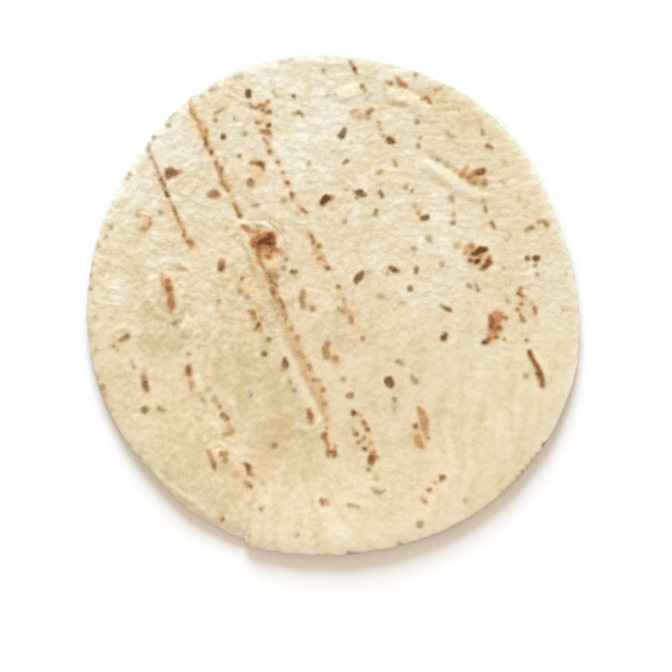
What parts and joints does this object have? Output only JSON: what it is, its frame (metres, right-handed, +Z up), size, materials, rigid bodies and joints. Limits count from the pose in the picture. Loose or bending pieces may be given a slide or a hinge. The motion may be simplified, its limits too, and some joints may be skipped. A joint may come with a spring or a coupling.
{
  "type": "round lavash flatbread",
  "caption": "Round thin wheat lavash lying flat: pale floury crust with scorched blisters, a wavy lifted rim, shallow folds and a short torn flap.",
  "frame": {"origin": "on the table, under the middle of the bread's bounding box", "axes": "+Z up through the bread's thickness, +Y towards the side that is at the top of the picture, +X to the picture's right"},
  "size_m": [0.2778, 0.283, 0.007],
  "materials": {
    "crust": "matte, floury, uneven, with brown scorch marks"
  },
  "bodies": {
    "root": {"lavash": "crust"}
  },
  "joints": []
}
